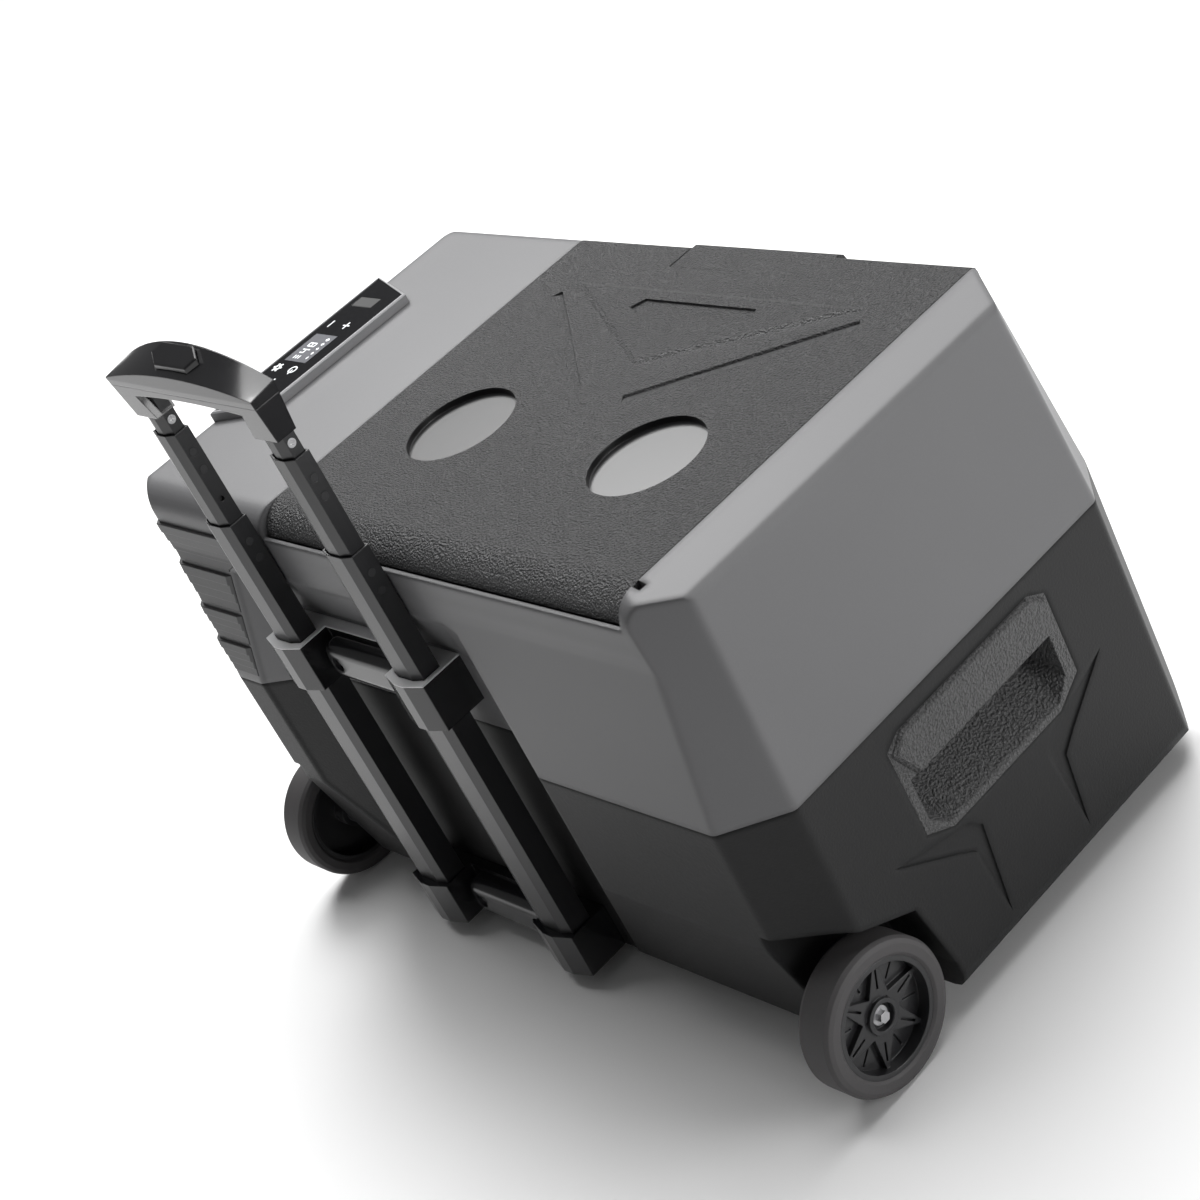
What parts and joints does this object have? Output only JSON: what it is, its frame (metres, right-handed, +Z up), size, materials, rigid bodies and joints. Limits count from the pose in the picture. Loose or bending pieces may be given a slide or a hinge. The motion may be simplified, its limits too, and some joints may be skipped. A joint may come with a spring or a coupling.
{
  "type": "compressor cooler fridge",
  "caption": "Portable compressor cooler box with hinged lid and cup recesses, a telescoping pull handle, rear wheels, end carry handles and a raised control console.",
  "frame": {"origin": "middle of the overall box at floor level", "axes": "+X towards the control console and machine compartment, +Y towards the pull handle and lid hinge, +Z up"},
  "size_m": [0.61, 0.39, 0.5214],
  "materials": {
    "grey_plastic": "satin",
    "black_plastic": "matte",
    "black_gloss": "gloss",
    "black_tube": "satin",
    "bezel_grey": "satin",
    "panel_glass": "gloss",
    "white_print": "matte",
    "display_blue": "gloss",
    "white_liner": "satin",
    "foam": "matte",
    "rubber": "matte",
    "tyre": "matte",
    "steel": "brushed",
    "aluminium": "satin",
    "compressor_paint": "satin",
    "copper": "satin",
    "board_green": "satin"
  },
  "bodies": {
    "body": {"upper_housing": "grey_plastic", "lower_housing": "black_plastic", "cabin_liner": "white_liner", "insulation_foam": "foam", "evaporator_coil": "aluminium", "partition_panel": "black_plastic", "base_plate": "steel", "compressor": "compressor_paint", "compressor_controller": "black_plastic", "compressor_grommets": "rubber", "condenser": "aluminium", "fan_frame": "black_plastic", "control_board": "board_green", "filter_drier": "copper", "refrigerant_pipes": "copper", "vent_grille": "grey_plastic", "vent_louvres": "grey_plastic", "console_bezel": "bezel_grey", "console_glass": "panel_glass", "console_display": "display_blue", "console_icons": "white_print", "usb_socket": "black_plastic", "dc_socket": "black_plastic", "dc_contacts": "steel", "carry_handle_plain_end": "black_plastic", "carry_handle_console_end": "black_plastic", "upper_bracket": "black_gloss", "lower_bracket": "black_gloss", "bracket_screws": "steel", "outer_tubes": "black_tube", "axle_bolts": "steel", "axle_spacers": "black_plastic", "front_feet": "rubber", "hinge_pins": "steel"},
    "lid": {"lid_shell": "black_plastic", "lid_foam": "foam", "lid_liner": "white_liner", "lid_gasket": "rubber", "latch_pin": "steel"},
    "latch": {"lid_latch": "black_plastic"},
    "stage1": {"stage1_tubes": "black_tube", "stage1_guides": "black_plastic", "stage1_plugs": "black_plastic"},
    "stage2": {"stage2_tubes": "black_tube", "stage2_guides": "black_plastic", "stage2_plugs": "black_plastic"},
    "stage3": {"stage3_tubes": "black_tube", "stage3_guides": "black_plastic", "stage3_screws": "steel", "grip_base": "black_gloss", "grip_cover": "black_gloss"},
    "button": {"release_button": "black_gloss", "release_yoke": "steel", "release_rods": "steel"},
    "wheel_plain": {"wheel_tyre_plain_end": "tyre", "wheel_hub_plain_end": "black_gloss"},
    "wheel_console": {"wheel_tyre_console_end": "tyre", "wheel_hub_console_end": "black_gloss"},
    "fan": {"fan_rotor": "black_plastic"},
    "usb_cover": {"usb_flap": "rubber"}
  },
  "joints": [
    {"name": "lid_hinge", "type": "hinge", "parent": "body", "child": "lid", "pos_m": [-0.06515, 0.1275, 0.346], "axis": [-1, 0, 0], "range_deg": [0, 88]},
    {"name": "latch_hinge", "type": "hinge", "parent": "lid", "child": "latch", "pos_m": [-0.06515, -0.1568, 0.364], "axis": [-1, 0, 0], "range_deg": [0, 40], "stiffness_Nm_per_rad": 0.15, "springref_deg": -34.38},
    {"name": "handle_stage1", "type": "slide", "parent": "body", "child": "stage1", "axis": [0, 0, 1], "range_m": [-0.096, 0]},
    {"name": "handle_stage2", "type": "slide", "parent": "stage1", "child": "stage2", "axis": [0, 0, 1], "range_m": [-0.0725, 0]},
    {"name": "handle_stage3", "type": "slide", "parent": "stage2", "child": "stage3", "axis": [0, 0, 1], "range_m": [-0.0135, 0.1256]},
    {"name": "release_press", "type": "slide", "parent": "stage3", "child": "button", "axis": [0, 0, 1], "range_m": [-0.0035, 0], "stiffness_N_per_m": 900, "springref_m": 0.002},
    {"name": "wheel_plain_spin", "type": "hinge", "parent": "body", "child": "wheel_plain", "pos_m": [-0.29, 0.145, 0.051], "axis": [1, 0, 0], "continuous": true},
    {"name": "wheel_console_spin", "type": "hinge", "parent": "body", "child": "wheel_console", "pos_m": [0.29, 0.145, 0.051], "axis": [1, 0, 0], "continuous": true},
    {"name": "fan_spin", "type": "hinge", "parent": "body", "child": "fan", "pos_m": [0.277, -0.005, 0.278], "axis": [1, 0, 0], "continuous": true},
    {"name": "usb_flap_hinge", "type": "hinge", "parent": "body", "child": "usb_cover", "pos_m": [0.26925, -0.0668, 0.3764], "axis": [-1, 0, 0], "range_deg": [0, 100], "stiffness_Nm_per_rad": 0.001, "springref_deg": -28.65}
  ]
}
